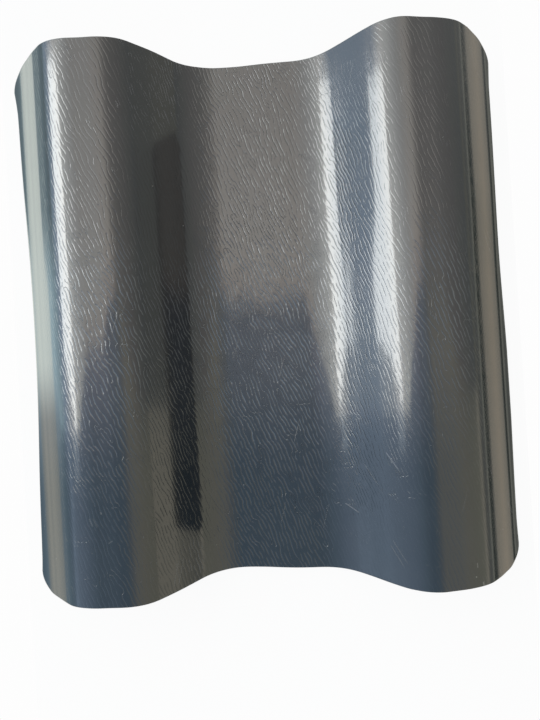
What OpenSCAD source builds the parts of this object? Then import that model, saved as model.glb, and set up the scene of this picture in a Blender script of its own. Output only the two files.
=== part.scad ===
// Wave-profiled plastic roof tile sheet.
// One extruded sheet of even thickness. Its section is a chain of flats, tangent bends and
// straight flanks: a flat pan between two crests, with each outer flank ending in a short toe.
// X runs across the waves, Y along them and Z up. The sheet lies on the underside of its pan.

/* [Sheet] */
// Length of the sheet along its waves
sheet_length = 220; // [80:1:1200]
// Thickness of the plastic
sheet_thickness = 2.5; // [1.2:0.1:4]

/* [Wave] */
// Number of crests
crest_count = 2; // [1:1:6]
// Distance from one crest to the next
wave_pitch = 130; // [115:1:180]
// Height of the crests above the pans
wave_height = 29; // [24:0.5:38]
// Slope of the flanks, in degrees
flank_angle = 46.5; // [40:0.5:60]
// Width of the flat along the top of a crest
crest_flat = 6; // [2:0.5:20]
// Radius of the bend at the shoulder of a flank, on the middle of the thickness
crest_bend_radius = 19; // [12:0.5:30]
// Radius of the bend at the foot of a flank, on the middle of the thickness
pan_bend_radius = 26; // [12:0.5:30]

/* [Edges] */
// Distance from the outermost crest line to the cut edge of the toe
edge_reach = 36.5; // [32:0.5:44]
// Radius of the four corners, seen from above
corner_radius = 8; // [3:0.5:15]
// Depth to which the left edge is hollowed at mid length by its hand-guided cut
left_edge_bow = 4; // [0.5:0.5:6]

/* [Hidden] */

// Facets of a full turn of a bend, and of the long arc of the hollowed edge
bend_facets = 120;
edge_facets = 720;
$fn = bend_facets;

// Depth by which a flank runs into its two bends, so that plane and cylinder cross cleanly
blend = 0.0003;
// Overlap of neighbouring waves at the middle of a pan
seam_lap = 1;
// Depth to which a wave is filled below the pans
fill_depth = 2 * (crest_bend_radius + sheet_thickness);

// A flank climbs what its two bends leave of the height, and the pan's flat is what the
// crest's flat and the flanks leave of the pitch
bend_radii = crest_bend_radius + pan_bend_radius;
flank_length = (wave_height - bend_radii * (1 - cos(flank_angle))) / sin(flank_angle);
flank_run = bend_radii * sin(flank_angle) + flank_length * cos(flank_angle);
flank_normal = [sin(flank_angle), cos(flank_angle)];
pan_flat = wave_pitch - crest_flat - 2 * flank_run;

// Outline in plan
half_width = (crest_count - 1) * wave_pitch / 2 + edge_reach;
overall_height = wave_height + sheet_thickness;
blank_length = 2 * sheet_length;
corner_x = half_width - corner_radius;
corner_y = sheet_length / 2 - corner_radius;

// The hollowed edge is an arc over the straight stretch between its two corners
bow_radius = (pow(corner_y, 2) + pow(left_edge_bow, 2)) / (2 * left_edge_bow);

// Half of a wave, from a crest's middle line to just past the middle of a pan, filled below
// the surface that lies `lift` above the middle of the sheet's thickness
module half_wave_fill(lift) {
    pan_z = sheet_thickness / 2 + lift;
    crest_z = pan_z + wave_height;
    crest_radius = crest_bend_radius + lift;
    pan_radius = pan_bend_radius - lift;
    crest_centre = [crest_flat / 2, crest_z - crest_radius];
    pan_centre = [crest_flat / 2 + flank_run, pan_z + pan_radius];
    seam_x = pan_centre.x + pan_flat / 2 + seam_lap;
    difference() {
        union() {
            linear_extrude(blank_length, center = true)
                polygon([
                    [0, -fill_depth],
                    [0, crest_z],
                    [crest_centre.x, crest_z],
                    crest_centre,
                    crest_centre + (crest_radius - blend) * flank_normal,
                    pan_centre - (pan_radius - blend) * flank_normal,
                    pan_centre,
                    [pan_centre.x, pan_z],
                    [seam_x, pan_z],
                    [seam_x, -fill_depth],
                ]);
            translate(crest_centre)
                cylinder(r = crest_radius, h = blank_length, center = true);
        }
        translate(pan_centre)
            cylinder(r = pan_radius, h = 2 * blank_length, center = true);
    }
}

// All the waves side by side, filled below the same surface
module wave_fill(lift) {
    for (crest = [0 : crest_count - 1])
        translate([(crest - (crest_count - 1) / 2) * wave_pitch, 0, 0])
            for (side = [0, 1])
                mirror([side, 0, 0])
                    half_wave_fill(lift);
}

// Outline in plan, with round corners and the hollowed left edge
module plan_outline() {
    difference() {
        union() {
            square([2 * half_width, 2 * corner_y], center = true);
            square([2 * corner_x, sheet_length], center = true);
            for (x = [-corner_x, corner_x], y = [-corner_y, corner_y])
                translate([x, y])
                    circle(r = corner_radius);
        }
        translate([left_edge_bow - half_width - bow_radius, 0])
            circle(r = bow_radius, $fn = edge_facets);
    }
}

// The sheet: what its upper surface encloses and its lower surface doesn't, trimmed in plan
module tile_sheet() {
    color("#3d4145")
        intersection() {
            rotate([90, 0, 0])
                difference() {
                    wave_fill(sheet_thickness / 2);
                    wave_fill(-sheet_thickness / 2);
                }
            linear_extrude(overall_height)
                plan_outline();
        }
}

tile_sheet();
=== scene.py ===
"""Looks of the wave-profiled plastic roof tile sheet.

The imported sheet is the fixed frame. One closed skin stands for it: the same section and outline,
with the embossed grain pressed into its upper face, softened cut edges and a plain underside.
"""

import logging
import math
from dataclasses import dataclass, replace
from enum import Enum
from functools import partial

import bpy
import numpy as np
from mathutils import Matrix, Vector


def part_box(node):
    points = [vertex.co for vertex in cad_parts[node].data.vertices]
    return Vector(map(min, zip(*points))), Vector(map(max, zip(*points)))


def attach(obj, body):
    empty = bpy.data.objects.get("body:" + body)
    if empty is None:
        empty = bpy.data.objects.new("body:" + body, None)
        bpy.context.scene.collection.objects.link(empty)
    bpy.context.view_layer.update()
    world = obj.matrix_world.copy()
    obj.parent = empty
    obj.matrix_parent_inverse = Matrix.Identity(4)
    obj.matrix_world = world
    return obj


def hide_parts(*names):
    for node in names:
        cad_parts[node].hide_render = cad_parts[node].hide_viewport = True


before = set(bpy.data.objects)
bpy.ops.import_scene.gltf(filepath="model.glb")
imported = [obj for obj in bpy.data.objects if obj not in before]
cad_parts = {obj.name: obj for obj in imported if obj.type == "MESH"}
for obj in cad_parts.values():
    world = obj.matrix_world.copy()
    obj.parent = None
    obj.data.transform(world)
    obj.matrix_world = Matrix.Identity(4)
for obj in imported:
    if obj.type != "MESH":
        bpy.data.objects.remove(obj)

LOG = logging.getLogger("roof_tile_sheet")
MM = 0.001
SHEET_NODE = "tile_sheet"
SURFACE_MAP = "along_sheet"
ZONE_MAP = "finish_zones"
GROOVE_MAP = "groove_field"
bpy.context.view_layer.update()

Array = np.ndarray
Socket = bpy.types.NodeSocket
Triple = tuple[float, float, float]
Colour = Triple
Paint = Colour | Socket
ColourTable = list[tuple[float, Colour]]


class Face(Enum):
    """The two broad faces of the sheet, valued by their side of the middle of the thickness."""

    UPPER = 1
    UNDER = -1


class Zone(Enum):
    """Finishes that one sheet shows, valued by their channel in the zone attribute."""

    EMBOSSED = 0
    CUT_EDGE = 1
    UNDERSIDE = 2


# --- grids and closed skins


def grid_triangles(rows: int, columns: int) -> Array:
    """Triangles of a grid, its cells cut from upper left to lower right as the grain slants.

    Args:
        rows: Number of rows of points.
        columns: Number of points in a row.

    Returns:
        Point numbers of the triangles, facing up.
    """
    low = (np.arange(rows - 1)[:, None] * columns + np.arange(columns - 1)).ravel()
    right, top, corner = low + 1, low + columns, low + columns + 1
    return np.concatenate([np.stack([low, right, top], 1), np.stack([right, corner, top], 1)])


def grid_rim(rows: int, columns: int) -> Array:
    """Point numbers round a grid's rim, counter-clockwise from its first point.

    Args:
        rows: Number of rows of points.
        columns: Number of points in a row.

    Returns:
        Each rim point once.
    """
    index = np.arange(rows * columns).reshape(rows, columns)
    return np.concatenate([index[0, :-1], index[:-1, -1], index[-1, :0:-1], index[:0:-1, 0]])


def strip_triangles(inner: Array, outer: Array) -> Array:
    """Triangles between two closed loops of equal length, facing out and up.

    Args:
        inner: Point numbers of the inner or upper loop.
        outer: Point numbers of the outer or lower loop.

    Returns:
        Point numbers of the triangles.
    """
    inner_next, outer_next = np.roll(inner, -1), np.roll(outer, -1)
    first = np.stack([inner, outer, outer_next], 1)
    return np.concatenate([first, np.stack([inner, outer_next, inner_next], 1)])


def zipped_triangles(upper: Array, lower: Array, upper_at: Array, lower_at: Array) -> Array:
    """Triangles between two closed loops of different lengths, merged in the order of their places.

    Each step forward on either loop adds one triangle that joins it to the other loop's last
    point, so the steps are the two lists of places sorted into one.

    Args:
        upper: Point numbers of the upper loop.
        lower: Point numbers of the lower loop.
        upper_at: Rising places of the upper loop's points, from 0 to below 4.
        lower_at: Rising places of the lower loop's points, from 0 to below 4.

    Returns:
        Point numbers of the triangles, facing out.
    """
    ends = np.concatenate([np.append(upper_at[1:], 4.0), np.append(lower_at[1:], 4.0)])
    on_upper = np.repeat([1, 0], [len(upper), len(lower)])[np.argsort(ends, kind="stable")]
    i = np.cumsum(on_upper) - on_upper
    j = np.cumsum(1 - on_upper) - (1 - on_upper)
    upper, lower = np.append(upper, upper[0]), np.append(lower, lower[0])
    third = np.where(on_upper == 1, upper[i + on_upper], lower[j + 1 - on_upper])
    return np.stack([upper[i], lower[j], third], 1)


def rim_places(points: Array, rows: int, columns: int) -> Array:
    """Places of a rim's points, one unit a side, by each side's share in X or Y.

    Args:
        points: Points of the rim, in the order of grid_rim.
        rows: Number of rows of the grid.
        columns: Number of points in a row.

    Returns:
        Rising places from 0 to below 4.
    """
    corners = np.cumsum([0, columns - 1, rows - 1, columns - 1, rows - 1])
    closed = np.concatenate([points, points[:1]])
    places = [np.empty(0)]
    for side in range(4):
        along = closed[corners[side] : corners[side + 1] + 1, side % 2]
        places.append(side + (along[:-1] - along[0]) / (along[-1] - along[0]))
    return np.concatenate(places)


# --- shape of the sheet


# Strength of the grain by X in millimetres: drawn out and faint on the steep flanks.
GRAIN_STRENGTH: list[tuple[float, float]] = [
    (-94, 0), (-84, 0.1), (-80, 0.25), (-75, 0.45), (-70, 0.55), (-58, 0.65), (-50, 0.5),
    (-45, 0.25), (-34, 0.25), (-28, 0.5), (-20, 0.95), (-12, 1.1), (10, 1.1), (18, 0.85), (24, 0.45),
    (30, 0.32), (34, 0.18), (38, 0.12), (43, 0.12), (46, 0.18), (52, 0.22), (60, 0.32), (72, 0.36),
    (80, 0.2), (88, 0),
]

# Strength of the grain by Y in millimetres: a little deeper over the middle, worn towards the foot.
GRAIN_ALONG: list[tuple[float, float]] = [
    (-90, 0.7), (-35, 1.1), (-5, 1.35), (15, 1.35), (40, 0.95), (110, 0.8),
]

# Slope that the moulded sheet adds to its drawn section: X in millimetres, then the slope towards
# the head and towards the foot. Added up, it moves the sheet by at most 1.6 mm.
SETTLING: list[tuple[float, float, float]] = [
    (-96, 0, 0), (-93, 0.06, 0.06), (-91.8, 0.028, 0.028), (-90.4, 0.06, 0.06), (-87, 0.045, 0.045),
    (-86, -0.02, 0.04), (-85, -0.02, 0.03), (-84, -0.02, -0.02), (-80, -0.07, -0.07),
    (-76, -0.04, -0.04), (-73, 0, 0), (-62, 0, 0), (-59, 0.04, 0.04), (-52, 0.05, 0.05),
    (-49.5, 0, 0), (-47, -0.035, -0.035), (-42, -0.035, -0.035), (-40, -0.08, -0.08),
    (-34, -0.09, -0.09), (-32, 0, 0), (-29, 0.05, 0.05), (-22, 0.05, 0.05), (-18, 0, 0),
    (-8, 0, 0), (-2, 0.045, 0.055), (14, 0.045, 0.055), (17, 0.01, 0.01), (20, -0.01, -0.01),
    (28, -0.02, -0.03), (31, -0.07, -0.09), (32.3, -0.1, -0.135), (33.3, -0.142, -0.17),
    (35, -0.13, -0.165), (36.5, -0.105, -0.13), (38, -0.078, -0.09), (42, -0.045, -0.08),
    (44, -0.055, -0.13), (45, -0.075, -0.15), (46.2, -0.12, -0.17), (47.3, -0.11, -0.175),
    (48.5, -0.05, -0.08), (50.5, 0.01, 0.02), (53, 0.06, 0.08), (55, 0.03, 0.04), (59, -0.03, -0.03),
    (68, -0.04, -0.04), (73, 0, 0), (77, 0.04, 0.04), (82, 0.09, 0.09), (83, 0.1, 0.1),
    (84, 0.035, 0.035), (85, 0, 0), (86, -0.026, -0.026), (92, -0.035, -0.035), (96, 0, 0),
]


@dataclass(frozen=True)
class WaveSection:
    """Section across the waves: flats, tangent bends and straight flanks, sizes in metres.

    Distances run from the nearest crest line, and the bends' radii are on the middle of the
    thickness, so both faces share the bends' centres.
    """

    thickness: float = 2.5 * MM
    pitch: float = 130 * MM
    rise: float = 29 * MM
    flank_tilt: float = math.radians(46.5)
    crest_flat: float = 6 * MM
    crest_bend: float = 19 * MM
    pan_bend: float = 26 * MM

    @property
    def pan_start(self) -> float:
        """Distance from a crest line to where the pan turns level."""
        sine, cosine = math.sin(self.flank_tilt), math.cos(self.flank_tilt)
        bends = self.crest_bend + self.pan_bend
        climb = self.rise - bends * (1 - cosine)
        return self.crest_flat / 2 + bends * sine + climb * cosine / sine

    def crest_line(self, x: Array) -> Array:
        """Place of the crest line nearest to x."""
        return np.where(x < 0, -self.pitch / 2, self.pitch / 2)

    def height(self, x: Array, y: Array, face: Face) -> Array:
        """Height of a face: a level crest and its circular bend, the flank's line, the pan's bend.

        Args:
            x: Places across the sheet.
            y: Places along the sheet.
            face: The face whose height is wanted.

        Returns:
            Height above the plane under the pans.
        """
        lift = face.value * self.thickness / 2
        crest_r, pan_r = self.crest_bend + lift, self.pan_bend - lift
        crest_z = self.thickness / 2 + self.rise - self.crest_bend
        pan_z = self.thickness / 2 + self.pan_bend
        sine, cosine = math.sin(self.flank_tilt), math.cos(self.flank_tilt)
        away = np.abs(x - self.crest_line(x))
        over = np.clip(away - self.crest_flat / 2, 0, crest_r * sine)
        under = np.clip(self.pan_start - away, 0, pan_r * sine)
        flank_from = self.crest_flat / 2 + crest_r * sine
        on_crest = crest_z + np.sqrt(crest_r**2 - over**2)
        on_flank = crest_z + crest_r * cosine - (away - flank_from) * sine / cosine
        in_pan = pan_z - np.sqrt(pan_r**2 - under**2)
        flank_to = self.pan_start - pan_r * sine
        drawn = np.select([away < flank_from, away < flank_to], [on_crest, on_flank], in_pan)
        return drawn + self._settled(x, y)

    def _settled(self, x: Array, y: Array) -> Array:
        """Height added by the settling: its slopes added up across the sheet and blended along it.

        Args:
            x: Places across the sheet.
            y: Places along the sheet.

        Returns:
            Height above the drawn section.
        """
        places, *slopes = np.array(SETTLING).T
        fine = np.linspace(places[0], places[-1], 3001)
        heights = []
        for slope in slopes:
            steep = np.interp(fine, places, slope)
            rise = np.concatenate([[0.0], np.cumsum((steep[1:] + steep[:-1]) / 2 * np.diff(fine))])
            rise -= np.interp(-12, fine, rise)
            heights.append(np.interp(x, fine * MM, rise * MM))
        share = np.clip((48 * MM - y) / (40 * MM), 0, 1)
        share = share * share * (3 - 2 * share)
        return heights[0] * (1 - share) + heights[1] * share

    def lean(self, x: Array) -> Array:
        """Sideways part of the upper face's unit normal, from the bends' arcs and the flanks.

        Args:
            x: Places across the sheet.

        Returns:
            Sine of the face's tilt, positive where it faces +X.
        """
        offset = x - self.crest_line(x)
        crest_r, pan_r = self.crest_bend + self.thickness / 2, self.pan_bend - self.thickness / 2
        rising = np.clip((np.abs(offset) - self.crest_flat / 2) / crest_r, 0, None)
        falling = np.clip((self.pan_start - np.abs(offset)) / pan_r, 0, None)
        return np.sign(offset) * np.minimum(np.minimum(rising, falling), math.sin(self.flank_tilt))

    def arc(self, x: Array) -> Array:
        """Length along the section from the middle of the sheet, counted over the nearest crest.

        Args:
            x: Places across the sheet.

        Returns:
            Signed length along the sheet, measured on the middle of the thickness.
        """
        crest = self.crest_line(x)
        half_wave = self._arc_from_crest(np.array(self.pitch / 2))
        return np.sign(crest) * half_wave + np.sign(x - crest) * self._arc_from_crest(np.abs(x - crest))

    def _arc_from_crest(self, away: Array) -> Array:
        """Length along the section from a crest line: flat, arc, slope, arc and flat, each clipped.

        Args:
            away: Distances from the crest line.

        Returns:
            Lengths along the section.
        """
        sine, cosine = math.sin(self.flank_tilt), math.cos(self.flank_tilt)
        crest_r, pan_r = self.crest_bend + self.thickness / 2, self.pan_bend - self.thickness / 2
        start, end = self.crest_flat / 2 + crest_r * sine, self.pan_start - pan_r * sine
        level = np.clip(away, 0, self.crest_flat / 2)
        over = self.crest_bend * np.arcsin(np.clip((away - self.crest_flat / 2) / crest_r, 0, sine))
        slope = np.clip(away - start, 0, end - start) / cosine
        left_to_turn = np.arcsin(np.clip((self.pan_start - away) / pan_r, 0, sine))
        under = self.pan_bend * (self.flank_tilt - left_to_turn)
        return level + over + slope + under + np.clip(away - self.pan_start, 0, None)


def slow_waves(place: Array, sizes: tuple[float, ...]) -> Array:
    """Sum of slow waves along an edge: half a wave, one wave, one and a half, and so on.

    Args:
        place: Places along the edge, from -1 to 1.
        sizes: Height of each wave in millimetres, the first for the level part.

    Returns:
        The sum, in metres.
    """
    turns = np.arange(len(sizes)) * math.pi / 2
    return np.cos((place[..., None] + 1) * turns) @ np.array(sizes) * MM


@dataclass(frozen=True)
class PlanOutline:
    """Outline seen from above: round corners, a hollowed left edge and hand-guided cuts."""

    length: float
    half_width: float
    corner: float = 8 * MM
    bow: float = 4 * MM
    corner_steps: int = 9
    row_step: float = 1.3 * MM
    foot_cut: tuple[float, ...] = (1.46, 0.98, -1.03, -0.28, 0.24, 0.08, -0.18, -0.14, -0.45, 0.16)
    head_cut: tuple[float, ...] = (0.44, 0.09, 0.17, 0.04, -0.60, 0.05, -0.79, 0.18, -0.32, 0.33)
    left_cut: tuple[float, ...] = (-0.08, -0.38, 0.07, -0.06, 0.48, 0.0, 0.15)
    right_cut: tuple[float, ...] = (0.68, -0.43, 0.18, 0.41, 0.06, -0.13, 0.02)

    def rows(self, inset: float) -> tuple[Array, Array, Array]:
        """Rows of a grid in the outline: a quarter circle's sines at each end, even steps between.

        Args:
            inset: Distance by which the outline is drawn in.

        Returns:
            The rows' Y, and the X of their left and right ends.
        """
        turn = np.linspace(math.pi / 2, 0, self.corner_steps + 1)
        radius = self.corner - inset
        straight = self.length / 2 - self.corner
        count = int(round(2 * straight / self.row_step))
        middle = np.linspace(-straight, straight, count + 1)[1:-1]
        foot = -straight - radius * np.sin(turn)
        y = np.concatenate([foot, middle, -foot[::-1]])
        reach = np.concatenate([np.cos(turn), np.ones(len(middle)), np.cos(turn)[::-1]]) * radius
        edge = self.half_width - self.corner + reach
        arc = (straight**2 + self.bow**2) / (2 * self.bow)
        hollow = self.bow - arc + np.sqrt(arc**2 - np.clip(np.abs(y), 0, straight) ** 2)
        place = 2 * y / self.length
        inwards = np.clip((straight - np.abs(y)) / (10 * MM), 0, 1)
        left = edge - hollow - slow_waves(place, self.left_cut) * inwards
        right = edge - np.clip(slow_waves(place, self.right_cut), 0, None) * (0.4 + 0.6 * inwards)
        return y, -left, right

    def hand_cut(self, x: Array, y: Array) -> Array:
        """Y with both ends' hand-cut wander, slow waves across the sheet that fade away from the ends.

        Args:
            x: Places across the sheet.
            y: Places along the sheet, before the wander.

        Returns:
            Places along the sheet, drawn in by up to 3.5 mm at the foot and 2 mm at the head.
        """
        place = x / self.half_width
        foot = np.clip(slow_waves(place, self.foot_cut), 0, None)
        head = np.clip(slow_waves(place, self.head_cut), 0, None)
        near_foot = np.clip(-2 * y / self.length, 0, 1) ** 6
        near_head = np.clip(2 * y / self.length, 0, 1) ** 6
        return y + foot * near_foot - head * near_head


@dataclass(frozen=True)
class Grain:
    """Pressed grain of the upper face: slanting, wavy ridges with narrow grooves between them.

    The grooves run where one slowly changing field passes through zero, so they bend, join and
    end in ones and twos as pressed grain does.
    """

    spacing: float = 1.56 * MM
    spacing_spread: float = 0.13
    slant: float = math.radians(21)
    slant_spread: float = math.radians(6.5)
    depth: float = 0.016 * MM
    waves: int = 90
    wobble: float = 0.13 * MM
    seed: int = 11

    def field(self, across: Array, along: Array) -> Array:
        """Cosine of the phase of a sum of plane waves of seeded spacing, slant and phase.

        Two grooves fit in one wave, so the waves are twice as long as the grooves' spacing. Where
        the sum is weak the field grows steeper, so its grooves thin out and end there.

        Args:
            across: Lengths along the section.
            along: Places along the sheet.

        Returns:
            The field, zero along every groove.
        """
        draw = np.random.default_rng(self.seed)
        turn = math.pi / (self.spacing * np.exp(self.spacing_spread * draw.standard_normal(self.waves)))
        slant = self.slant + self.slant_spread * draw.standard_normal(self.waves)
        phase = draw.uniform(0, 2 * math.pi, self.waves)
        across = across + self._wobble(across, along, draw)
        even, odd = np.zeros_like(across), np.zeros_like(across)
        for k, a, p in zip(turn, slant, phase):
            angle = k * (across * math.cos(a) + along * math.sin(a)) + p
            even += np.cos(angle)
            odd += np.sin(angle)
        strength = np.hypot(even, odd) / math.sqrt(self.waves)
        fading = 1 - np.clip(strength / 0.7, 0, 1)
        return even / np.hypot(even, odd) * (1 + 4 * fading**2)

    def _wobble(self, across: Array, along: Array, draw: np.random.Generator) -> Array:
        """Sideways shift of the grooves: a sum of plane waves of seeded length, heading and phase.

        Args:
            across: Lengths along the section.
            along: Places along the sheet.
            draw: Source of the seeded numbers.

        Returns:
            The shift, in metres.
        """
        shift = np.zeros_like(across)
        for _ in range(30):
            turn = 2 * math.pi / draw.uniform(3.4 * MM, 6.5 * MM)
            heading, phase = draw.uniform(0, 2 * math.pi, 2)
            shift += np.cos(turn * (across * math.cos(heading) + along * math.sin(heading)) + phase)
        return shift * self.wobble / math.sqrt(15)

    def relief(self, field: Array) -> Array:
        """Depth below the face: a bell curve of the field, deepest in the grooves.

        Args:
            field: The grain's field.

        Returns:
            Depth, from about 0 on a ridge to the full depth in a groove.
        """
        return self.depth * np.exp(-((field / 0.75) ** 2))


@dataclass
class SheetSkin:
    """The whole sheet as one closed skin: embossed face, softened rim, cut wall and underside."""

    section: WaveSection
    outline: PlanOutline
    grain: Grain
    grain_reach: float = 88 * MM
    column_step: float = 0.425 * MM
    flank_columns: int = 15
    under_step: float = 2.4 * MM
    under_flank_columns: int = 7
    under_row_step: float = 4.5 * MM
    softening: float = 0.3 * MM
    hem: float = 0.15 * MM

    def build(self) -> bpy.types.Object:
        """Joins the upper face, its softened rim, the wall and the underside into one closed mesh.

        Returns:
            The finished object, at the origin, riding on the sheet's body in place of its node.
        """
        outline = replace(self.outline, row_step=self.under_row_step)
        fine = partial(self._face, self.outline, self._columns(self.column_step), self.flank_columns)
        coarse = partial(self._face, outline, self._columns(self.under_step), self.under_flank_columns)
        drop = (1 - math.sqrt(0.5)) * self.softening
        upper = fine(self.softening, Face.UPPER, 0.0)
        bevel = fine(drop, Face.UPPER, -drop)
        brink = fine(0.0, Face.UPPER, -self.softening)
        foot = coarse(0.0, Face.UNDER, self.hem)
        under = coarse(self.hem, Face.UNDER, 0.0)
        shape, under_shape = upper.shape[:2], under.shape[:2]
        rim, under_rim = grid_rim(*shape), grid_rim(*under_shape)
        rings = [bevel.reshape(-1, 3)[rim], brink.reshape(-1, 3)[rim], foot.reshape(-1, 3)[under_rim]]
        share = self._grain_share(upper[..., 0], upper[..., 1])
        field = self.grain.field(self.section.arc(upper[..., 0]), upper[..., 1])
        blocks = [self._embossed(upper, share * self.grain.relief(field)), *rings, under.reshape(-1, 3)]
        starts = np.cumsum([0] + [len(block) for block in blocks])
        loops = [np.arange(starts[i], starts[i + 1]) for i in (1, 2, 3)]
        places = rim_places(rings[1], *shape), rim_places(rings[2], *under_shape)
        triangles = [
            grid_triangles(*shape),
            strip_triangles(rim, loops[0]),
            strip_triangles(loops[0], loops[1]),
            zipped_triangles(loops[1], loops[2], *places),
            strip_triangles(loops[2], under_rim + starts[4]),
            grid_triangles(*under_shape)[:, ::-1] + starts[4],
        ]
        zones = np.zeros((starts[-1], 4))
        zones[: starts[1], Zone.EMBOSSED.value] = share.ravel()
        zones[starts[1] : starts[4], Zone.CUT_EDGE.value] = 1.0
        zones[starts[4] :, Zone.UNDERSIDE.value] = 1.0
        grooves = np.full(starts[-1], 3.0)
        grooves[: starts[1]] = field.ravel()
        return self._as_object(np.concatenate(blocks), np.concatenate(triangles), zones, grooves)

    def _columns(self, step: float) -> Array:
        """Places of the grid's inner columns, even steps along the section.

        Args:
            step: Wanted step along the section.

        Returns:
            Rising X from one end of the grain to the other.
        """
        fine = np.linspace(-self.grain_reach, self.grain_reach, 4001)
        arcs = self.section.arc(fine)
        count = int(round((arcs[-1] - arcs[0]) / step))
        return np.interp(np.linspace(arcs[0], arcs[-1], count + 1), arcs, fine)

    def _face(
        self, outline: PlanOutline, columns: Array, flank: int, inset: float, face: Face, lift: float
    ) -> Array:
        """One broad face as a grid: rows along the sheet, columns over the waves.

        Inner columns run straight along the sheet. Between them and the outline, the flank's
        columns share out each row's remaining width evenly.

        Args:
            outline: Outline with the grid's row step.
            columns: X of the inner columns.
            flank: Number of columns between the inner ones and the outline, on each side.
            inset: Distance by which the outline is drawn in.
            face: Face that the grid follows.
            lift: Height added to the face.

        Returns:
            Points of shape rows, columns, 3.
        """
        y, left, right = outline.rows(inset)
        step = np.arange(flank) / flank
        outer_left = left[:, None] + (columns[0] - left)[:, None] * step
        outer_right = right[:, None] + (columns[-1] - right)[:, None] * step[::-1]
        inner = np.broadcast_to(columns, (len(y), len(columns)))
        x = np.concatenate([outer_left, inner, outer_right], axis=1)
        along = outline.hand_cut(x, np.broadcast_to(y[:, None], x.shape))
        return np.stack([x, along, self.section.height(x, along, face) + lift], axis=-1)

    def _grain_share(self, x: Array, y: Array) -> Array:
        """Strength of the grain: its table across the sheet times its table along it.

        Args:
            x: Places across the sheet.
            y: Places along the sheet.

        Returns:
            Share of the full depth.
        """
        across, along = np.array(GRAIN_STRENGTH).T, np.array(GRAIN_ALONG).T
        return np.interp(x, across[0] * MM, across[1]) * np.interp(y, along[0] * MM, along[1])

    def _embossed(self, points: Array, depth: Array) -> Array:
        """Moves the upper face's points inwards, along its normal, by the grain's depth.

        Args:
            points: The upper face's grid.
            depth: Depth of the grain at each point.

        Returns:
            The pressed points, in one list.
        """
        lean = self.section.lean(points[..., 0])
        normal = np.stack([lean, np.zeros_like(lean), np.sqrt(1 - lean**2)], axis=-1)
        return (points - depth[..., None] * normal).reshape(-1, 3)

    def _as_object(self, points: Array, triangles: Array, zones: Array, grooves: Array) -> bpy.types.Object:
        """Puts the skin into a mesh, with its map along the surface and its zones.

        Args:
            points: Corner points.
            triangles: Point numbers of each triangle.
            zones: Strength of each zone at each point.
            grooves: The grain's field at each point.

        Returns:
            The object that stands for the sheet's node.
        """
        mesh = bpy.data.meshes.new("tile_sheet_skin")
        mesh.from_pydata(points.tolist(), [], triangles.tolist(), shade_flat=False)
        layout = mesh.uv_layers.new(name=SURFACE_MAP)
        surface = np.stack([self.section.arc(points[:, 0]), points[:, 1]], axis=1)[triangles.ravel()]
        layout.data.foreach_set("uv", surface.astype(np.float32).ravel())
        marks = mesh.attributes.new(ZONE_MAP, "FLOAT_COLOR", "POINT")
        marks.data.foreach_set("color", zones.astype(np.float32).ravel())
        lines = mesh.attributes.new(GROOVE_MAP, "FLOAT", "POINT")
        lines.data.foreach_set("value", grooves.astype(np.float32))
        mesh.validate()
        sheet = bpy.data.objects.new("tile_sheet_skin", mesh)
        bpy.context.scene.collection.objects.link(sheet)
        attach(sheet, "root")
        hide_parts(SHEET_NODE)
        return sheet

    def dress(self, sheet: bpy.types.Object, finish: "SheetPlastic") -> None:
        """Gives the skin its finish."""
        sheet.data.materials.append(finish.material())


# --- shader maths


class Signal:
    """A number that varies over a surface, written as the socket that carries it."""

    def __init__(self, bench: "NodeBench", socket: Socket) -> None:
        """Wraps a socket of one of the bench's nodes."""
        self.bench = bench
        self.socket = socket

    def _math(self, operation: str, *values: "Signal | float") -> "Signal":
        """Adds one Math node.

        Args:
            operation: Blender's name for the operation.
            values: Its operands in order.

        Returns:
            The node's result.
        """
        node = self.bench.add("Math", {"operation": operation}, dict(enumerate(values)))
        return Signal(self.bench, node.outputs[0])

    def __add__(self, other: "Signal | float") -> "Signal":
        """Sum."""
        return self._math("ADD", self, other)

    __radd__ = __add__

    def __sub__(self, other: "Signal | float") -> "Signal":
        """Difference."""
        return self._math("SUBTRACT", self, other)

    def __rsub__(self, other: "Signal | float") -> "Signal":
        """Difference from a number on the left."""
        return self._math("SUBTRACT", other, self)

    def __mul__(self, other: "Signal | float") -> "Signal":
        """Product."""
        return self._math("MULTIPLY", self, other)

    __rmul__ = __mul__

    def __truediv__(self, other: "Signal | float") -> "Signal":
        """Quotient."""
        return self._math("DIVIDE", self, other)

    def least(self, other: "Signal | float") -> "Signal":
        """The smaller of two values."""
        return self._math("MINIMUM", self, other)

    def most(self, other: "Signal | float") -> "Signal":
        """The larger of two values."""
        return self._math("MAXIMUM", self, other)

    def exponential(self) -> "Signal":
        """The number e raised to the value."""
        return self._math("EXPONENT", self)

    def size(self) -> "Signal":
        """The value without its sign."""
        return self._math("ABSOLUTE", self)

    def turned_from(self, other: "Signal") -> "Signal":
        """Angle in radians whose tangent is this value over the other."""
        return self._math("ARCTAN2", self, other)

    def step(self, start: "Signal | float", end: "Signal | float") -> "Signal":
        """Smooth step from 0 at start to 1 at end.

        Args:
            start: Value at which the step is still 0.
            end: Value at which the step is fully 1.

        Returns:
            The step.
        """
        inputs = {"Value": self, "From Min": start, "From Max": end}
        node = self.bench.add("MapRange", {"interpolation_type": "SMOOTHSTEP"}, inputs)
        return Signal(self.bench, node.outputs["Result"])


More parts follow.
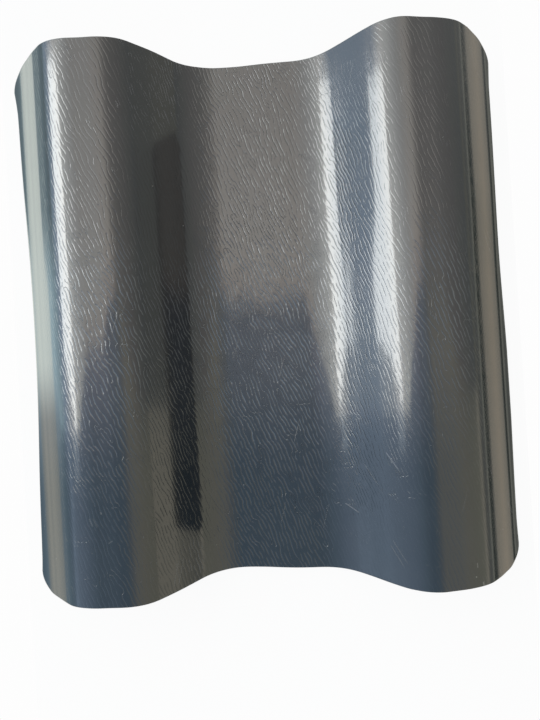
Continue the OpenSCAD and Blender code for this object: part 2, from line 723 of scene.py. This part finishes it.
class NodeBench:
    """Adds nodes to the node tree of one material or world."""

    def __init__(self, owner: bpy.types.Material | bpy.types.World) -> None:
        """Takes over the owner's tree and empties it."""
        owner.use_nodes = True
        self.tree = owner.node_tree
        self.tree.nodes.clear()

    def add(self, kind: str, settings: dict | None = None, inputs: dict | None = None) -> bpy.types.Node:
        """Adds a node, sets its settings first and then its sockets.

        Args:
            kind: The node's type, without its prefix.
            settings: Its own properties.
            inputs: Values or links of its sockets, by name or number.

        Returns:
            The node.
        """
        node = self.tree.nodes.new("ShaderNode" + kind)
        for name, value in (settings or {}).items():
            setattr(node, name, value)
        for name, value in (inputs or {}).items():
            socket = node.inputs[name]
            if isinstance(value, Signal):
                self.tree.links.new(value.socket, socket)
            elif isinstance(value, Socket):
                self.tree.links.new(value, socket)
            else:
                socket.default_value = value
        return node

    def ramp(self, value: Signal, stops: ColourTable) -> Socket:
        """Colour that a ramp gives to a value.

        Args:
            value: The value that the ramp reads.
            stops: Rising places from 0 to 1 with their colours.

        Returns:
            The colour.
        """
        node = self.add("ValToRGB", None, {"Fac": value})
        elements = node.color_ramp.elements
        while len(elements) < len(stops):
            elements.new(1.0)
        for element, (place, colour) in zip(elements, stops):
            element.position = place
            element.color = (*colour, 1.0)
        return node.outputs["Color"]

    def mix(self, share: Signal | float, first: Paint, second: Paint) -> Socket:
        """Colour between two colours.

        Args:
            share: Share of the second colour.
            first: Colour at share 0.
            second: Colour at share 1.

        Returns:
            The mixed colour.
        """
        sides = [(*side, 1.0) if isinstance(side, tuple) else side for side in (first, second)]
        node = self.add("Mix", {"data_type": "RGBA"}, {0: share, 6: sides[0], 7: sides[1]})
        return node.outputs[2]

    def noise(
        self, place: Socket, grain: float, detail: float = 2.0, rough: float = 0.5, warp: float = 0.0
    ) -> Signal:
        """Noise of about even strength round one half.

        Args:
            place: Coordinates that the noise reads, in metres.
            grain: Size of its blobs, in metres.
            detail: Octaves above the first.
            rough: Strength of each octave against the one before.
            warp: Distortion.

        Returns:
            The noise's value.
        """
        inputs = {"Vector": place, "Scale": 1 / grain, "Detail": detail}
        inputs |= {"Roughness": rough, "Distortion": warp}
        return Signal(self, self.add("TexNoise", None, inputs).outputs[0])

    def stretched(self, place: Socket, turn: float, shrink: Triple) -> Socket:
        """Coordinates turned about their third axis and scaled, so that a pattern runs in streaks.

        Args:
            place: Coordinates to change.
            turn: Turn in degrees.
            shrink: Scale on each axis after the turn.

        Returns:
            The new coordinates.
        """
        spun = self.add("Mapping", None, {"Vector": place, "Rotation": (0, 0, math.radians(turn))})
        return self.add("Mapping", None, {"Vector": spun.outputs[0], "Scale": shrink}).outputs[0]

    def axes(self, place: Socket) -> list[Signal]:
        """The X, Y and Z of a vector."""
        return [Signal(self, part) for part in self.add("SeparateXYZ", None, {"Vector": place}).outputs]

    def rays(self) -> tuple[Signal, Signal]:
        """Masks of the camera's own rays, and of the rays that mirror or pass through."""
        path = self.add("LightPath").outputs
        mirrored = Signal(self, path["Is Glossy Ray"]).most(Signal(self, path["Is Transmission Ray"]))
        return Signal(self, path["Is Camera Ray"]), mirrored


# --- finish of the sheet


@dataclass(frozen=True)
class Scratch:
    """A short straight scratch or nick, placed in plan, in millimetres."""

    middle: tuple[float, float]
    length: float
    heading: float
    width: float = 0.16
    strength: float = 0.5

    def mask(self, bench: NodeBench, place: Socket) -> Signal:
        """Mask of the scratch: a bell curve across it, cut off smoothly at both ends.

        Args:
            bench: The material's bench.
            place: Object coordinates.

        Returns:
            Mask from 0 to the scratch's strength.
        """
        inputs = {
            "Vector": place,
            "Location": (self.middle[0] * MM, self.middle[1] * MM, 0.0),
            "Rotation": (0.0, 0.0, math.radians(self.heading)),
            "Scale": (self.length / 2 * MM, self.width * MM, 1.0),
        }
        fitted = bench.add("Mapping", {"vector_type": "TEXTURE"}, inputs)
        along, across, _ = bench.axes(fitted.outputs[0])
        return (across * across * -1.0).exponential() * along.size().step(1.0, 0.7) * self.strength


SCRATCHES: tuple[Scratch, ...] = (
    Scratch((30.9, -81.9), 6.7, -32.7),
    Scratch((45.9, -60.7), 8.3, -59.7),
    Scratch((-70.5, -75.4), 3.8, -70.0, 0.3, 0.16),
    Scratch((-68.9, -75.6), 4.3, -69.0, 0.3, 0.12),
    Scratch((-63.5, -83.1), 2.1, 29.0, 0.25, 0.22),
    Scratch((-77.4, -69.2), 2.3, 90.0, 0.2, 0.16),
    Scratch((-66.5, -72.1), 1.0, -74.0, 0.25, 0.35),
    Scratch((74.5, -101.0), 2.2, 90.0, 0.2, 0.4),
    Scratch((76.7, -108.4), 1.8, 98.0, 0.25, 0.7),
    Scratch((6.1, 53.6), 1.6, 55.0, 0.18, 0.25),
    Scratch((7.9, 54.0), 2.7, -13.0, 0.18, 0.25),
)


@dataclass(frozen=True)
class SheetPlastic:
    """Glossy dark grey plastic with handling marks, a scuffed cut edge, a satin underside and a painted
    reflection lightening the grain's grooves.
    """

    tone: Colour = (0.009, 0.0105, 0.012)
    worn_tone: Colour = (0.013, 0.0145, 0.016)
    cut_tone: Colour = (0.045, 0.046, 0.047)
    under_tone: Colour = (0.022, 0.023, 0.025)
    # Painted reflection: a pale bluish tone mixed into the grain's grooves stands in for the ceiling seen
    # in the groove walls. The next fields make it thin everywhere and strong in a band across the middle of
    # the sheet.
    groove_reflection_tone: Colour = (0.16, 0.18, 0.20)
    dust: Colour = (0.32, 0.31, 0.29)
    gloss: float = 0.07
    thin_groove_reflection: float = 0.14
    thick_groove_reflection: float = 0.85
    groove_reflection_foot: tuple[float, float] = (-80 * MM, -10 * MM)
    groove_reflection_head: tuple[float, float] = (40 * MM, 12 * MM)
    speck_spacing: float = 7 * MM
    hairline_width: float = 0.55 * MM
    hairline_turns: tuple[float, float] = (-38.0, 17.0)
    stroke_turn: float = -21.0
    stroke_size: float = 1.6 * MM
    groove_width: float = 0.38
    groove_depth: float = 0.125 * MM

    def material(self) -> bpy.types.Material:
        """Builds the node material.

        Returns:
            The material.
        """
        made = bpy.data.materials.new("sheet_plastic")
        bench = NodeBench(made)
        place = bench.add("TexCoord").outputs["Object"]
        surface = bench.add("UVMap", {"uv_map": SURFACE_MAP}).outputs["UV"]
        zones = bench.add("Attribute", {"attribute_name": ZONE_MAP}).outputs["Color"]
        split = bench.add("SeparateColor", None, {"Color": zones})
        embossed, cut, under = (Signal(bench, split.outputs[zone.value]) for zone in Zone)
        patches = bench.noise(place, 28 * MM, 3.0, 0.55, 0.4)
        haze = bench.noise(surface, 9 * MM, 4.0, 0.6).step(0.52, 0.78)
        handled = 1.0 - under
        specks = self._specks(bench, surface) * handled
        hairlines = self._hairlines(bench, surface) * handled
        masks = [scratch.mask(bench, place) * handled for scratch in SCRATCHES]
        scratches = sum(masks, start=0.12 * hairlines)
        tone = bench.mix(patches.step(0.35, 0.7), self.tone, self.worn_tone)
        tone = bench.mix(haze * 0.25, tone, self.worn_tone)
        strokes = self._strokes(bench, surface)
        # Painted reflection: the grooves are lightened towards a pale bluish tone, thinly everywhere and
        # strongly in a band across the middle of the sheet, in place of the ceiling seen in their walls.
        along = bench.axes(place)[1]
        middle = along.step(*self.groove_reflection_head) * along.step(*self.groove_reflection_foot)
        painted_groove_reflection = self.thin_groove_reflection + self.thick_groove_reflection * middle
        tone = bench.mix((strokes * embossed * painted_groove_reflection).least(0.9), tone, self.groove_reflection_tone)
        tone = bench.mix(under, tone, self.under_tone)
        tone = bench.mix(cut * bench.noise(place, 1.2 * MM, 3.0).step(0.2, 0.6), tone, self.cut_tone)
        tone = bench.mix(specks, tone, self.dust)
        tone = bench.mix(scratches.least(0.9), tone, self.dust)
        rough = self.gloss + 0.05 * patches.step(0.3, 0.75) + 0.05 * haze
        rough = (rough + 0.3 * under + 0.32 * cut + 0.4 * specks + 0.12 * hairlines).least(0.7)
        inputs = {
            "Base Color": tone,
            "Roughness": rough,
            "IOR": 1.6,
            "Specular IOR Level": 1.0,
            "Coat Weight": 1.0 - 0.7 * under.most(cut),
            "Coat Roughness": 0.06,
            "Coat IOR": 1.5,
            "Normal": self._bump(bench, place, strokes * embossed, hairlines),
        }
        shader = bench.add("BsdfPrincipled", None, inputs)
        bench.add("OutputMaterial", None, {"Surface": shader.outputs[0]})
        return made

    def _specks(self, bench: NodeBench, surface: Socket) -> Signal:
        """Stray dust: the middles of a few scattered cells.

        Args:
            bench: The material's bench.
            surface: Coordinates along the surface.

        Returns:
            Mask of the specks.
        """
        inputs = {"Vector": surface, "Scale": 1 / self.speck_spacing}
        cells = bench.add("TexVoronoi", {"voronoi_dimensions": "2D"}, inputs)
        kept = bench.add("SeparateColor", None, {"Color": cells.outputs["Color"]})
        span = Signal(bench, kept.outputs[1]) + 0.35
        near = (Signal(bench, cells.outputs["Distance"]) / span).step(0.040, 0.018)
        return near * Signal(bench, kept.outputs[0]).step(0.945, 0.955) * 0.6

    def _hairlines(self, bench: NodeBench, surface: Socket) -> Signal:
        """Fine handling marks: the crests of two noises drawn out into thin streaks.

        Args:
            bench: The material's bench.
            surface: Coordinates along the surface.

        Returns:
            Mask of the hairlines.
        """
        marks = []
        for turn in self.hairline_turns:
            streaks = bench.stretched(surface, turn, (1.0, 0.018, 1.0))
            marks.append(bench.noise(streaks, self.hairline_width, 0.0).step(0.83, 0.89))
        return marks[0].most(marks[1])

    def _strokes(self, bench: NodeBench, surface: Socket) -> Signal:
        """Narrow grooves of the grain, broken into strokes by a noise drawn out along them.

        A groove's section is a bell curve of the grain's field, narrower than the mesh can hold.

        Args:
            bench: The material's bench.
            surface: Coordinates along the surface.

        Returns:
            Depth of the grooves, from 0 to 1.
        """
        lines = bench.add("Attribute", {"attribute_name": GROOVE_MAP}).outputs["Fac"]
        field = Signal(bench, lines) / self.groove_width
        drawn_out = bench.stretched(surface, self.stroke_turn, (1.0, 0.42, 1.0))
        kept = bench.noise(drawn_out, self.stroke_size, 1.0).step(0.34, 0.54)
        return (field * field * -1.0).exponential() * (kept + 0.12)

    def _bump(self, bench: NodeBench, place: Socket, grooves: Signal, hairlines: Signal) -> Socket:
        """Fine relief: the grain's narrow grooves, a very fine orange peel and the hairlines.

        Args:
            bench: The material's bench.
            place: Object coordinates.
            grooves: Depth of the grain's grooves.
            hairlines: Mask of the hairlines.

        Returns:
            The bumped normal.
        """
        peel = bench.noise(place, 0.35 * MM, 2.0)
        height = 0.10 * peel - grooves - 0.3 * hairlines
        inputs = {"Height": height, "Distance": self.groove_depth, "Strength": 1.0}
        return bench.add("Bump", None, inputs).outputs["Normal"]


# --- studio


@dataclass(frozen=True)
class SoftBox:
    """A flat soft lamp beside the sheet, its long side along the waves."""

    name: str
    tilt: float
    distance: float
    width: float
    along: tuple[float, float]
    brightness: float
    colour: Colour
    shift: float = 0.0

    def build(self) -> None:
        """Hangs the lamp: tilted from straight up about the sheet's length, facing the sheet."""
        angle = math.radians(self.tilt)
        lamp = bpy.data.lights.new(self.name, "AREA")
        lamp.shape = "RECTANGLE"
        lamp.size = self.width
        lamp.size_y = self.along[1] - self.along[0]
        lamp.energy = self.brightness * math.pi * lamp.size * lamp.size_y
        lamp.color = self.colour
        hung = bpy.data.objects.new(self.name, lamp)
        away = Vector((math.sin(angle), 0, math.cos(angle)))
        across = Vector((math.cos(angle), 0, -math.sin(angle)))
        turn = Matrix((across, (0, 1, 0), away)).transposed().to_4x4()
        middle = away * self.distance + across * self.shift + Vector((0, sum(self.along) / 2, 0))
        hung.matrix_world = Matrix.Translation(middle) @ turn
        hung.visible_camera = False
        bpy.context.scene.collection.objects.link(hung)
        LOG.info("lamp %s hung", self.name)


@dataclass(frozen=True)
class Window:
    """A tall window on the left, in panes whose lower ends step down to a dim sill."""

    tilt: float = -64.0
    distance: float = 1.6
    width: float = 0.564
    starts: tuple[float, ...] = (0.03, -0.02, -0.07, -0.12, -0.18)
    end: float = 0.96
    daylight: Colour = (0.97, 1.0, 0.98)
    brightness: float = 3.4
    sill_start: float = -0.34
    sill_colour: Colour = (0.85, 0.95, 1.0)
    sill_brightness: float = 0.5

    def build(self) -> None:
        """Hangs the panes side by side, the lowest first, and the sill below the upper half."""
        pane, half = self.width / len(self.starts), self.width / 2
        lit = self.brightness, self.daylight
        for i, start in enumerate(self.starts):
            size, shift = (pane, (start, self.end)), (i + 0.5) * pane - half
            SoftBox(f"window_pane_{i}", self.tilt, self.distance, *size, *lit, shift).build()
        size, lit = (half, (self.sill_start, self.starts[-1])), (self.sill_brightness, self.sill_colour)
        SoftBox("window_sill", self.tilt, self.distance, *size, *lit, half / 2).build()


# Colours of the room by tilt from straight up, in degrees, positive towards +X. The ceiling lies
# beyond the edge on the +Y side, and the front wall short of it, darker towards its foot.
SKIRTING: ColourTable = [
    (87, (0.34, 0.34, 0.29)), (92, (0.22, 0.23, 0.22)), (100, (0.22, 0.23, 0.21)),
    (103, (0.38, 0.39, 0.34)), (106.5, (0.36, 0.37, 0.32)), (109, (0.05, 0.06, 0.055)),
    (114.4, (0.07, 0.085, 0.08)), (116.4, (0.42, 0.41, 0.36)), (117.6, (0.54, 0.47, 0.37)),
    (119, (0.56, 0.48, 0.37)),
]
CEILING: ColourTable = [
    (-125, (1.4, 1.52, 1.4)), (-117.6, (1.28, 1.4, 1.32)), (-115.6, (0.72, 1.0, 1.12)),
    (-90, (0.8, 1.1, 1.25)), (-80, (0.82, 1.06, 1.36)), (-76, (0.9, 1.12, 1.4)),
    (-56, (2.3, 2.3, 2.25)), (-48, (2.05, 2.1, 2.05)), (-40, (1.72, 1.75, 1.72)),
    (-30, (1.45, 1.47, 1.45)), (-20, (1.32, 1.31, 1.26)), (-8, (1.38, 1.32, 1.24)),
    (4, (1.3, 1.23, 1.13)), (12, (0.82, 0.78, 0.73)), (20, (0.59, 0.57, 0.54)),
    (30, (0.49, 0.48, 0.46)), (40, (0.45, 0.44, 0.42)), (50, (0.4, 0.39, 0.38)),
    (60, (0.36, 0.37, 0.35)), (70, (0.31, 0.32, 0.31)), (80, (0.26, 0.28, 0.28)),
    (84, (0.27, 0.28, 0.25)),
    *SKIRTING,
]
FRONT: ColourTable = [
    (-119.6, (0.68, 0.7, 0.69)), (-117.6, (0.5, 0.56, 0.55)), (-115.6, (0.55, 0.72, 0.84)),
    (-95, (0.62, 0.84, 1.0)), (-82, (0.8, 1.05, 1.4)), (-60, (0.65, 0.85, 1.1)),
    (-45, (0.9, 0.98, 1.15)), (-30, (0.75, 0.83, 1.0)), (-20, (0.65, 0.7, 0.85)),
    (-8, (0.5, 0.55, 0.65)), (4, (0.48, 0.55, 0.65)), (14, (0.47, 0.5, 0.52)),
    (22, (0.62, 0.6, 0.53)), (30, (0.61, 0.59, 0.5)), (40, (0.52, 0.5, 0.44)),
    (50, (0.44, 0.43, 0.39)), (60, (0.4, 0.41, 0.37)), (70, (0.38, 0.38, 0.34)),
    (76, (0.4, 0.4, 0.34)), (79, (0.6, 0.58, 0.49)), (84, (0.6, 0.58, 0.49)),
    *SKIRTING,
]
FRONT_FOOT: ColourTable = [
    (-119.6, (0.58, 0.58, 0.52)), (-117.6, (0.38, 0.41, 0.39)), (-115.6, (0.24, 0.33, 0.4)),
    (-95, (0.24, 0.36, 0.46)), (-83, (0.3, 0.42, 0.56)), (-77, (0.56, 0.75, 1.0)),
    (-70, (0.45, 0.6, 0.8)), (-55, (0.4, 0.54, 0.73)), (-40, (0.33, 0.46, 0.62)),
    (-30, (0.3, 0.43, 0.57)), (-20, (0.26, 0.37, 0.49)), (-8, (0.22, 0.32, 0.43)),
    (4, (0.23, 0.33, 0.43)), (14, (0.32, 0.37, 0.41)), (22, (0.46, 0.47, 0.44)),
    (30, (0.47, 0.48, 0.43)), (40, (0.49, 0.48, 0.41)), (60, (0.46, 0.46, 0.38)),
    (76, (0.45, 0.45, 0.37)), (80, (0.62, 0.59, 0.49)), (84, (0.62, 0.59, 0.49)),
    *SKIRTING,
]

# Height of the edge between front wall and ceiling over the sheet, in degrees towards +Y.
EDGE: list[tuple[float, float]] = [
    (-118, -1.5), (-112, -2), (-104, -5), (-76, -6), (-48, -6), (-40, -3), (-30, 0), (-20, 2), (-12, 5),
    (-5, 7), (10, 8), (20, 8), (28, 4), (40, 0), (60, -4),
]


@dataclass(frozen=True)
class StudioRoom:
    """The room round the sheet: a lit ceiling, a cooler front wall, a dark skirting on the right."""

    span: float = 130.0
    wall_fade: tuple[float, float] = (0.03, -0.22)
    edge_blur: float = 0.010
    left_edge_blur: float = 0.05
    floor_from: tuple[float, float] = (-0.72, -0.80)
    white: Colour = (0.985, 0.985, 0.985)

    def build(self) -> None:
        """Makes the world shader, which depends only on direction and is plain white to the camera."""
        world = bpy.data.worlds.new("studio_room")
        bpy.context.scene.world = world
        bench = NodeBench(world)
        x, y, z = bench.axes(bench.add("TexCoord").outputs["Generated"])
        tilt = x.turned_from(z) * (180 / math.pi)
        place = tilt / (2 * self.span) + 0.5
        front = bench.ramp(place, self._stops(FRONT))
        foot = bench.ramp(place, self._stops(FRONT_FOOT))
        wall = bench.mix(y.step(*self.wall_fade), front, foot)
        heights = [(turn, (0.5 + 0.5 * math.sin(math.radians(rise)),) * 3) for turn, rise in EDGE]
        above = y - (Signal(bench, bench.ramp(place, self._stops(heights))) * 2.0 - 1.0)
        blur = self.edge_blur + self.left_edge_blur * tilt.step(-98.0, -108.0)
        ceiling = self._shaded(bench, bench.ramp(place, self._stops(CEILING)), tilt, y, above)
        lit = bench.mix(above.step(-1.0 * blur, blur), wall, ceiling)
        camera, mirrored = bench.rays()
        seen = camera.most(mirrored * z.step(*self.floor_from))
        colour = bench.mix(seen, lit, self.white)
        shader = bench.add("Background", None, {"Color": colour, "Strength": 1.0})
        bench.add("OutputWorld", None, {"Surface": shader.outputs[0]})

    def _shaded(self, bench: NodeBench, plain: Socket, tilt: Signal, y: Signal, above: Signal) -> Socket:
        """The ceiling dulled at its far end, darkened low on the left and warmed over its edge.

        Args:
            bench: The world's bench.
            plain: The ceiling's colour by tilt alone.
            tilt: Tilt from straight up, in degrees.
            y: Share of the direction that points along the sheet.
            above: Height over the edge between wall and ceiling.

        Returns:
            The ceiling's colour.
        """
        ceiling = bench.mix(y.step(0.15, 0.6) * 0.25, plain, (0.4, 0.4, 0.4))
        low_left = tilt.step(-82.0, -92.0) * y.step(0.12, 0.30)
        dark = low_left * (0.55 - 0.52 * tilt.step(-115.0, -118.0))
        ceiling = bench.mix(dark, ceiling, (0.0, 0.0, 0.0))
        warm = above.step(0.12, 0.01) * tilt.step(-30.0, -14.0) * tilt.step(16.0, 8.0)
        return bench.mix(warm * 0.35, ceiling, (1.30, 1.06, 0.92))

    def _stops(self, table: ColourTable) -> ColourTable:
        """Turns tilts in degrees into a ramp's places."""
        return [(tilt / (2 * self.span) + 0.5, colour) for tilt, colour in table]


@dataclass(frozen=True)
class StudioFloor:
    """Plain white board under the sheet, which keeps the sheet's shadow."""

    half_width: float = 0.110
    half_length: float = 0.190
    drop: float = 0.05 * MM
    white: Colour = (0.90, 0.90, 0.90)
    camera_glow: float = 0.93
    mirror_glow: float = 0.3

    def build(self) -> None:
        """Makes the board and its material."""
        corners = [(-1, -1), (1, -1), (1, 1), (-1, 1)]
        points = [(x * self.half_width, y * self.half_length, -self.drop) for x, y in corners]
        mesh = bpy.data.meshes.new("studio_floor")
        mesh.from_pydata(points, [], [(0, 1, 2, 3)])
        floor = bpy.data.objects.new("studio_floor", mesh)
        bpy.context.scene.collection.objects.link(floor)
        made = bpy.data.materials.new("floor_white")
        bench = NodeBench(made)
        camera, mirrored = bench.rays()
        seen = camera * self.camera_glow + mirrored * self.mirror_glow
        lit = bench.add("BsdfDiffuse", None, {"Color": (*self.white, 1.0)})
        glow = bench.add("Emission", None, {"Color": (1.0, 1.0, 1.0, 1.0), "Strength": 1.0})
        mixed = bench.add("MixShader", None, {0: seen, 1: lit.outputs[0], 2: glow.outputs[0]})
        bench.add("OutputMaterial", None, {"Surface": mixed.outputs[0]})
        mesh.materials.append(made)


@dataclass(frozen=True)
class Viewpoint:
    """A hand-held camera close above the sheet."""

    eye: Triple = (1.60 * MM, -19.56 * MM, 229.10 * MM)
    turn: Triple = (0.340, 0.317, -3.517)
    lens: float = 26.25

    def build(self) -> None:
        """Places the camera and makes it the scene's."""
        camera = bpy.data.cameras.new("overhead_camera")
        camera.lens = self.lens
        camera.clip_start = 0.01
        held = bpy.data.objects.new("overhead_camera", camera)
        held.location = self.eye
        held.rotation_euler = [math.radians(angle) for angle in self.turn]
        bpy.context.scene.collection.objects.link(held)
        bpy.context.scene.camera = held


def main() -> None:
    """Builds the sheet and its studio in order."""
    bpy.context.scene.view_settings.view_transform = "Standard"
    low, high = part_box(SHEET_NODE)
    outline = PlanOutline(length=high.y - low.y, half_width=(high.x - low.x) / 2)
    skin = SheetSkin(WaveSection(), outline, Grain())
    sheet = skin.build()
    skin.dress(sheet, SheetPlastic())
    LOG.info("%s: %d triangles", sheet.name, len(sheet.data.polygons))
    Viewpoint().build()
    StudioFloor().build()
    StudioRoom().build()
    Window().build()


if __name__ == "__main__":
    logging.basicConfig(level=logging.INFO, format="%(message)s")
    main()
